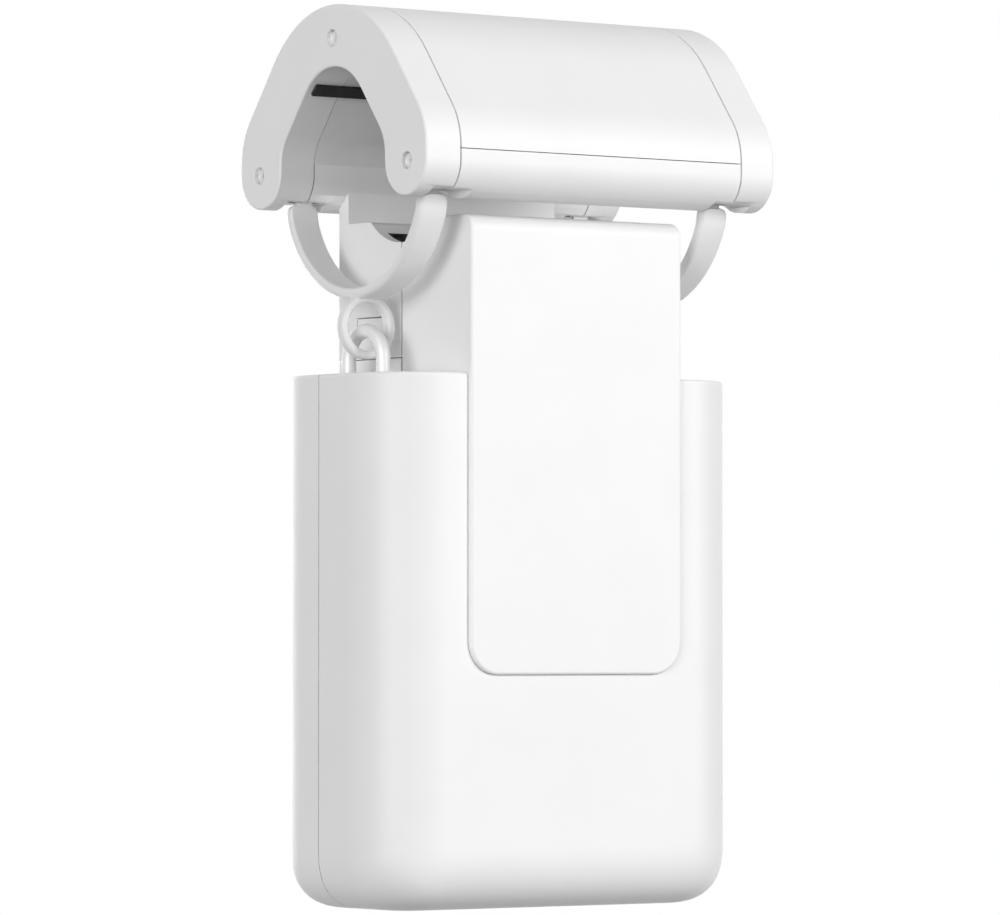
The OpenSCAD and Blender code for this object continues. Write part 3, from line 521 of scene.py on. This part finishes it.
def foot_size(reach, depth):
    """Size of the full rounding that passes through a point, or its distance beside a flat face."""
    full = BODY_FOOT_FULLNESS
    return (max(reach, 0) ** full + max(depth, 0) ** full) ** (1 / full)


def fill_foot(bm):
    """Makes the rounding round the body's foot fuller than a circle's."""
    for vert in bm.verts:
        out, reach, depth = over_foot(vert.co)
        if depth > 0 and reach > 0:
            grow = math.hypot(reach, depth) / foot_size(reach, depth) - 1
            vert.co.xy += out.normalized() * reach * grow
            vert.co.z -= depth * grow


def on_skin(co):
    """Whether a point of the seam lies in the body's outer face."""
    reach, depth = over_foot(co)[1:]
    top = co.z > BODY_HIGH.z - ON_PLANE
    return off_stub(co) and (top or foot_size(reach, depth) > BODY_FOOT_R - WALL / 2)


def true_normals(made):
    """Gives the body's outer face the normals of its true form, so that holes leave no streaks in it."""
    bpy.context.view_layer.update()
    graph = bpy.context.evaluated_depsgraph_get()
    mesh = bpy.data.meshes.new_from_object(
        made.evaluated_get(graph), preserve_all_data_layers=True, depsgraph=graph
    )
    made.modifiers.clear()
    made.data = mesh
    normals = [corner.vector.copy() for corner in mesh.corner_normals]
    for face in mesh.polygons:
        for i in face.loop_indices:
            out, reach, depth = over_foot(mesh.vertices[mesh.loops[i].vertex_index].co)
            if out.length == 0 or abs(foot_size(reach, depth) - BODY_FOOT_R) > ON_PLANE:
                continue
            aside = out.normalized() * max(reach, 0) ** (BODY_FOOT_FULLNESS - 1)
            true = Vector((*aside, -max(depth, 0) ** (BODY_FOOT_FULLNESS - 1))).normalized()
            if true.angle(face.normal) < SHARP / 2:
                normals[i] = true
    mesh.normals_split_custom_set(normals)


def shape_front(bm):
    fit_opening(bm)
    fill_foot(bm)


def shape_panel(bm):
    """Makes the panel's upper corners square and rolls its crest over toward the back."""
    centre = Vector((PANEL_HALF - PANEL_TOP_R, PANEL_HIGH.z - PANEL_TOP_R))
    for vert in bm.verts:
        aside = abs(vert.co.x) - centre.x
        above = vert.co.z - centre.y
        if 0 < aside < PANEL_TOP_R + ON_PLANE and above > 0:
            grow = math.hypot(aside, above) / max(aside, above)
            vert.co.x = math.copysign(centre.x + aside * grow, vert.co.x)
            vert.co.z = centre.y + above * grow
    bm.normal_update()
    join_flat(bm)
    is_crest = both(at("y", PANEL_LOW.y), at("z", PANEL_HIGH.z))
    crest = [edge for edge in bm.edges if is_crest(edge)]
    bmesh.ops.bevel(
        bm, geom=crest, offset=PANEL_CREST, offset_type="OFFSET", segments=CREST_STEPS, profile=0.5,
        affect="EDGES", clamp_overlap=False,
    )


def panel_rim(edge):
    """Chooses the edges round the panel's face, also where they run back over the crest."""
    middle = (edge.verts[0].co + edge.verts[1].co) / 2
    beside = at("x", PANEL_HALF)(edge) or at("x", -PANEL_HALF)(edge)
    over = at("z", PANEL_HIGH.z)(edge) or middle.y < PANEL_LOW.y + PANEL_CREST
    return at("y", PANEL_LOW.y)(edge) or (beside and over)


moulding("front_panel", [(panel_rim, PANEL_EDGE)], steps=5, shape=shape_panel)
opening_half = PANEL_HALF + PANEL_FIT
moulding("front_shell", [
    (both(at("x", opening_half), at("z", BODY_HIGH.z)), OPENING_CORNER),
    (both(at("x", -opening_half), at("z", BODY_HIGH.z)), OPENING_CORNER),
    (both(at("z", BODY_HIGH.z), at("y", BODY_HIGH.y)), 0),
    (both(at("z", BODY_HIGH.z), clear_of(BAILS, BAIL_HOLE_REACH)), BODY_RIM),
    (at("y", BODY_LOW.y), OPENING_EDGE),
], [("y", BODY_HIGH.y, SEAM_SHIFT)], steps=4, shape=shape_front)
true_normals(moulding("rear_shell", [
    (upright, ARM_EDGE),
    (both(at("z", BODY_HIGH.z), at("y", BODY_HIGH.y)), 0),
    (both(at("z", BODY_HIGH.z), clear_of(BAILS, BAIL_HOLE_REACH)), BODY_RIM),
], [
    ("y", BODY_HIGH.y, SEAM_SHIFT, off_stub),
    ("y", BODY_HIGH.y + SEAM_SHIFT, SHELL_GAP, on_skin),
    ("y", BODY_HIGH.y, ARM_LOW.y - BODY_HIGH.y, on_stub),
    ("y", REAR_HIGH.y, ARM_BACK + ARM_DEEPER - REAR_HIGH.y, on_stub),
], steps=4, shape=fill_foot))
moulding("rear_arm", [(upright, ARM_EDGE)], cap_seams + [
    ("z", STUB_TOP, SEAM),
    ("y", ARM_BACK, ARM_DEEPER),
], steps=4)
moulding("head_cover", seams=cap_seams + [("z", cover_low, SEAM)])
moulding("front_rail", seams=cap_seams)
for side, out in zip(SIDES, (-1, 1)):
    outer = at("x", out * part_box("end_cap_right")[1].x)
    moulding(
        "end_cap_" + side,
        [(both(outer, near("x", CAP_SCREWS, SCREW_HOLE_REACH)), SCREW_HOLE_EDGE), (outer, CAP_EDGE)],
        [("x", out * CAP_SEAM, out * CAP_GAP / 2)],
    )
    moulding("release_button_" + side, [(anywhere, SMALL_EDGE)])
    for hard in ("idler_core_", "idler_axle_", "wheel_hub_", "wheel_axle_"):
        moulding(hard + side, [(anywhere, SMALL_EDGE)])
for place_name in ("front", "rear"):
    moulding("rod_pad_" + place_name, [(anywhere, PAD_EDGE)])
moulding("charging_socket", [(anywhere, SOCKET_EDGE)])


# Rings, with shoulders where their bands go into the slots, and bails
SHOULDER_Z = -6.56 * MM
SHOULDER_R = 1.4 * MM
BAND_R = 22.2 * MM
POCKET_R = 21.8 * MM
POCKET_TURN = math.radians(10)
BAND_T = 1.9 * MM
BAND_HALF = 3.05 * MM
BAND_EDGES = (0.9 * MM, 0.6 * MM)
BAND_STEPS = 40
TONGUE_R = 19.7 * MM
TONGUE_T = 1.0 * MM
TONGUE_HALF = 1.7 * MM
TONGUE_EDGES = (0.2 * MM, 0.2 * MM)
EYELET_R = 5.8 * MM
EYELET_RIM = 1.5 * MM
EYELET_HALF = 1.1 * MM
EYELET_EDGE = 0.55 * MM
EYELET_DROP = 0.6 * MM
BEND_STEPS = 24


def band_section(bm, centre, angle, half, outer, inner, edges):
    """Cross-section of a ring's band at an angle from its lowest point."""
    outline = rounded([
        (outer, -half, edges[0]), (outer, half, edges[0]), (inner, half, edges[1]), (inner, -half, edges[1])
    ])
    out = Vector((0, math.sin(angle), -math.cos(angle)))
    return [bm.verts.new(centre + out * radius + Vector((aside, 0, 0))) for radius, aside in outline]


def ring(side):
    """A band with an eyelet below it, whose ends fit the head's pockets, and a tongue inside the head."""
    low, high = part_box("ring_" + side)
    inner = BAND_R - BAND_T
    centre = Vector(((low.x + high.x) / 2, 0, high.z - TONGUE_R - TONGUE_T))
    end = math.acos((centre.z - SHOULDER_Z) / BAND_R)
    corner = [
        (end - SHOULDER_R * (1 - math.cos(turn)) / BAND_R, BAND_HALF - SHOULDER_R * (1 - math.sin(turn)))
        for turn in QUARTER_STEPS
    ]
    reach = corner[-1][0]
    band = [(-angle, width) for angle, width in corner]
    band += [(reach * (k / BAND_STEPS - 1), BAND_HALF) for k in range(1, 2 * BAND_STEPS)]
    band += reversed(corner)
    bm = bmesh.new()
    sections = []
    for angle, width in band:
        into = max(1 - (end - abs(angle)) / POCKET_TURN, 0)
        fit = (BAND_R - POCKET_R) * into * into * (3 - 2 * into)
        sections.append(band_section(bm, centre, angle, width, BAND_R - fit, inner - fit, BAND_EDGES))
    for k in range(BAND_STEPS + 1):
        angle = end + (TURN - 2 * end) * k / BAND_STEPS
        sections.append(
            band_section(bm, centre, angle, TONGUE_HALF, TONGUE_R + TONGUE_T, TONGUE_R, TONGUE_EDGES)
        )
    for i in range(len(sections)):
        bridge(bm, sections[i - 1], sections[i])
    hole = EYELET_R - EYELET_RIM
    eyelet = rounded([
        (EYELET_R, -EYELET_HALF, EYELET_EDGE), (EYELET_R, EYELET_HALF, EYELET_EDGE),
        (hole, EYELET_HALF, EYELET_EDGE), (hole, -EYELET_HALF, EYELET_EDGE),
    ])
    turned(bm, eyelet, (centre.x, 0, low.z + EYELET_R - EYELET_DROP), "y")
    piece(bm, "ring_band_" + side, "ring_" + side)


def bail(side):
    """A wire that stands in the body's top on two legs and passes through the eyelet."""
    low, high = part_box("bail_" + side)
    wire = (high.x - low.x) / 2
    bend = high.y - wire
    middle = Vector((low.x + wire, 0, high.z - wire - bend))
    angles = [math.pi * k / BEND_STEPS for k in range(BEND_STEPS + 1)]
    path = [Vector((middle.x, -bend, low.z))]
    path += [middle + bend * Vector((0, -math.cos(angle), math.sin(angle))) for angle in angles]
    path.append(Vector((middle.x, bend, low.z)))
    bm = bmesh.new()
    swept(bm, path, wire, around=28)
    piece(bm, "bail_wire_" + side, "bail_" + side)


# Rollers, with the grooves and ribs of moulded rubber
SLEEVE_FIT = 0.02 * MM


def roller(node, core, name, groove, rib, ribs):
    """A sleeve on its core, with three ribbed treads between grooves."""
    low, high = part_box(node)
    outer = (high.x - low.x) / 2
    half = (high.y - low.y) / 2
    inner = (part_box(core)[1].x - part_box(core)[0].x) / 2 + SLEEVE_FIT
    soft = 2 * groove
    tread = []
    for k in (-1, 0, 1):
        middle = 2 * k * (half - soft) / 3
        wide = (half - soft) / 3 - groove / 2
        tread += [
            (outer - groove, middle - wide - groove / 4), (outer - rib, middle - wide, rib),
            (outer - rib, middle + wide, rib), (outer - groove, middle + wide + groove / 4),
        ]
    outline = [(inner, -half), (outer - soft, -half), *tread, (outer - soft, half), (inner, half)]
    bm = bmesh.new()
    turned(bm, outline, (low + high) / 2, "y", steps=8 * ribs, lobes=ribs)
    piece(bm, name, node)


def lift_spring(side):
    """A coil with closed turns at both ends, which stretches between the body and the drive unit."""
    low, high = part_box("lift_spring_" + side)
    wire = 0.35 * MM
    turns = 9
    dead = 1.25
    per_turn = 28
    dead_pitch = 2.1 * wire
    middle = (low + high) / 2
    radius = (high.x - low.x) / 2 - wire
    closed = dead * dead_pitch
    open_rise = (high.z - low.z - 2 * wire - 2 * closed) / (turns - 2 * dead)
    path = []
    for k in range(turns * per_turn + 1):
        turn = k / per_turn
        rise = min(turn, dead) * closed / dead
        rise += min(max(turn - dead, 0), turns - 2 * dead) * open_rise
        rise += max(turn - turns + dead, 0) * closed / dead
        path.append(Vector((
            middle.x + radius * math.cos(TURN * turn), middle.y + radius * math.sin(TURN * turn),
            low.z + wire + rise,
        )))
    bm = bmesh.new()
    swept(bm, path, wire, around=10)
    made = piece(bm, "lift_spring_coil_" + side, "lift_spring_" + side, rides=False)
    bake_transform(made)


for side in SIDES:
    ring(side)
    bail(side)
    roller(
        "idler_sleeve_" + side, "idler_core_" + side, "idler_tread_" + side,
        groove=0.25 * MM, rib=0.03 * MM, ribs=24,
    )
    roller(
        "wheel_tyre_" + side, "wheel_hub_" + side, "wheel_tread_" + side,
        groove=0.5 * MM, rib=0.12 * MM, ribs=30,
    )
    lift_spring(side)


# Screws, with a dished head, a six-lobed recess and a thread
# Shares of the head's radius
DISH = 0.3
RECESS = 0.32
LOBE = 0.05
HEAD_RINGS = (0.5, 0.65, 0.8, 0.9, 0.97)
# Shares of the head's height
RECESS_DEPTH = 0.15
HEAD_EDGE = 0.05
# Share of the recess's radius
RECESS_MOUTH = 1.06
# Shares of the shank's radius
THREAD_ROOT = 0.84
TIP = 0.6
# Shares of the pitch
CREST_AT = 0.4
ROOT_AT = 0.9
THREAD_PITCH = 0.5 * MM
LOBES = 6


def screw(bm, points):
    """A screw in the place of a plain headed pin, whose corner points are given."""
    low = Vector([min(point[i] for point in points) for i in range(3)])
    high = Vector([max(point[i] for point in points) for i in range(3)])
    size = high - low
    i = max(range(3), key=lambda axis: size[axis])
    middle = (low + high) / 2

    def off_axis(point):
        return math.hypot(*(point[k] - middle[k] for k in range(3) if k != i))

    head_r = max(map(off_axis, points))
    ends = []
    for end in (low, high):
        ends.append(max(off_axis(point) for point in points if abs(point[i] - end[i]) < ON_PLANE))
    shank_r = min(ends)
    top = low[i] if ends[0] > ends[1] else high[i]
    inward = 1 if ends[0] > ends[1] else -1
    wide = [abs(point[i] - top) for point in points if off_axis(point) > (head_r + shank_r) / 2]
    head_h = max(wide)
    dish = DISH * head_r
    bowl_r = (head_r ** 2 + dish ** 2) / (2 * dish)

    def sunk(radius):
        return dish - bowl_r + math.sqrt(bowl_r ** 2 - radius ** 2)

    recess = RECESS * head_r
    lobe = LOBE * head_r
    mouth = sunk(recess)
    bottom = mouth + RECESS_DEPTH * head_h
    outline = [(0, bottom), (recess, bottom, lobe), (RECESS_MOUTH * recess, mouth, lobe)]
    outline += [(share * head_r, sunk(share * head_r)) for share in HEAD_RINGS]
    outline += [(head_r, HEAD_EDGE * head_h), (head_r, head_h), (shank_r, head_h)]
    threads = int((size[i] - head_h) / THREAD_PITCH - 1)
    for k in range(threads):
        outline.append((shank_r, head_h + (k + CREST_AT) * THREAD_PITCH))
        outline.append((THREAD_ROOT * shank_r, head_h + (k + ROOT_AT) * THREAD_PITCH))
    outline += [(TIP * shank_r, size[i]), (0, size[i])]
    middle[i] = top
    outline = [(point[0], inward * point[1], *point[2:]) for point in outline]
    turned(bm, outline, middle, "xyz"[i], steps=8 * LOBES, lobes=LOBES)


for node in (
    "cap_screws_left", "cap_screws_right", "arm_screws", "shell_screws", "frame_screws", "panel_screws",
    "board_screws",
):
    solids = cad_copy(node)
    bm = bmesh.new()
    for points in islands(solids):
        screw(bm, points)
    solids.free()
    piece(bm, node + "_threaded", node)


# Back of the body
FLANGE = 0.9 * MM
FLANGE_T = 0.8 * MM
KEY_EDGE = 0.25 * MM
KEY_EDGE_CUT = 0.08 * MM
# Shares of the key's radius, and how deep its dish is there
KEY_DISH = ((0.6, 0.18 * MM), (0.3, 0.25 * MM), (0, 0.27 * MM))
DOME = 0.3 * MM


def function_button():
    """A dished key on a flange that keeps it in the shell."""
    low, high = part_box("function_button")
    flange_r = (high.x - low.x) / 2
    key_r = flange_r - FLANGE
    length = high.y - low.y
    outline = [
        (0, 0), (flange_r, 0), (flange_r, FLANGE_T), (key_r, FLANGE_T), (key_r, length - KEY_EDGE),
        (key_r - KEY_EDGE_CUT, length - KEY_EDGE_CUT), (key_r - KEY_EDGE, length),
        (key_r - 2 * KEY_EDGE, length),
    ]
    outline += [(share * key_r, length - depth) for share, depth in KEY_DISH]
    bm = bmesh.new()
    turned(bm, outline, ((low.x + high.x) / 2, low.y, (low.z + high.z) / 2), "y")
    piece(bm, "function_key", "function_button")


def status_light():
    """A clear pin with a domed end."""
    low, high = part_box("status_light")
    radius = (high.x - low.x) / 2
    length = high.y - low.y
    outline = [(0, 0), (radius, 0)]
    outline += [(radius * math.cos(turn), length - DOME * (1 - math.sin(turn))) for turn in QUARTER_STEPS]
    bm = bmesh.new()
    turned(bm, outline, ((low.x + high.x) / 2, low.y, (low.z + high.z) / 2), "y", steps=40)
    piece(bm, "status_lens", "status_light")


function_button()
status_light()


# Camera at the photograph's place
PHOTO_WIDTH = 1000
PHOTO_HEIGHT = 915
FOCAL_LENGTH = 6168.2
HORIZON = 644.9
VIEW_TURN = math.radians(36.3)
EYE_DISTANCE = 1114.5 * MM
EYE_ASIDE = -1.33 * MM
EYE_HEIGHT = -85.43 * MM
SENSOR_WIDTH = 36.0


def camera():
    ahead = Vector((math.sin(VIEW_TURN), math.cos(VIEW_TURN), 0))
    aside = Vector((math.cos(VIEW_TURN), -math.sin(VIEW_TURN), 0))
    data = bpy.data.cameras.new("camera")
    data.sensor_width = SENSOR_WIDTH
    data.lens = SENSOR_WIDTH * FOCAL_LENGTH / PHOTO_WIDTH
    data.clip_start = 10 * MM
    made = bpy.data.objects.new("camera", data)
    made.location = EYE_ASIDE * aside - EYE_DISTANCE * ahead + Vector((0, 0, EYE_HEIGHT))
    pitch = math.atan((HORIZON - PHOTO_HEIGHT / 2) / FOCAL_LENGTH)
    made.rotation_euler = (math.pi / 2 + pitch, 0, -VIEW_TURN)
    bpy.context.scene.collection.objects.link(made)
    bpy.context.scene.camera = made


camera()


# Light
def area_light(name, toward, distance, size, strength):
    """Square lamp at a distance from the middle of the object, strength as it arrives there."""
    data = bpy.data.lights.new(name, "AREA")
    data.shape = "SQUARE"
    data.size = size
    data.energy = strength * math.pi ** 2 * distance ** 2
    made = bpy.data.objects.new(name, data)
    middle = (cad_box[0] + cad_box[1]) / 2
    direction = Vector(toward).normalized()
    made.location = middle + direction * distance
    made.rotation_euler = direction.to_track_quat("Z", "Y").to_euler()
    bpy.context.scene.collection.objects.link(made)


AMBIENT = 0.31
FLOOR_Z = -0.32
FLOOR_SIZE = 6.0
FLOOR_GLOW = 0.95


def seen_directly(tree):
    """One where the camera, a gloss or a clear surface looks, and nought for light on the object."""
    path = add(tree, "LightPath")
    found = path.outputs["Is Camera Ray"]
    for name in ("Is Glossy Ray", "Is Transmission Ray"):
        either = tree.nodes.new("ShaderNodeMath")
        either.operation = "MAXIMUM"
        tree.links.new(found, either.inputs[0])
        tree.links.new(path.outputs[name], either.inputs[1])
        found = either.outputs[0]
    return found


def world():
    """White where it is seen, and a soft even light on the object."""
    made = bpy.data.worlds.new("studio")
    made.use_nodes = True
    bpy.context.scene.world = made
    tree = made.node_tree
    background = tree.nodes["Background"]
    background.inputs["Color"].default_value = (1, 1, 1, 1)
    level = add(tree, "MapRange", To_Min=AMBIENT, To_Max=1.0)
    tree.links.new(seen_directly(tree), level.inputs["Value"])
    tree.links.new(level.outputs["Result"], background.inputs["Strength"])


def floor():
    """Pale floor that keeps the shadow and is otherwise seen as white."""
    material = surface(
        "studio_floor", (grey(0.24), grey(0.26)), (0.8, 0.9), 4 * MM, 0.02 * MM, 300 * MM, specular=0.1
    )
    tree = material.node_tree
    shader = tree.nodes["Principled BSDF"]
    shader.inputs["Emission Color"].default_value = (1, 1, 1, 1)
    glow = add(tree, "MapRange", To_Min=0.0, To_Max=FLOOR_GLOW)
    tree.links.new(seen_directly(tree), glow.inputs["Value"])
    tree.links.new(glow.outputs["Result"], shader.inputs["Emission Strength"])
    bm = bmesh.new()
    bmesh.ops.create_grid(bm, x_segments=4, y_segments=4, size=FLOOR_SIZE / 2)
    mesh = bpy.data.meshes.new("floor")
    bm.to_mesh(mesh)
    bm.free()
    mesh.materials.append(material)
    made = bpy.data.objects.new("floor", mesh)
    made.location.z = FLOOR_Z
    bpy.context.scene.collection.objects.link(made)


world()
floor()
area_light("key", toward=(0.53, -0.82, 0.22), distance=1.6, size=1.0, strength=0.66)
area_light("fill", toward=(-0.89, -0.44, 0.12), distance=1.6, size=0.8, strength=0.51)
area_light("back", toward=(0.17, 0.98, 0.02), distance=1.6, size=1.0, strength=0.35)
bpy.context.scene.view_settings.view_transform = "Standard"
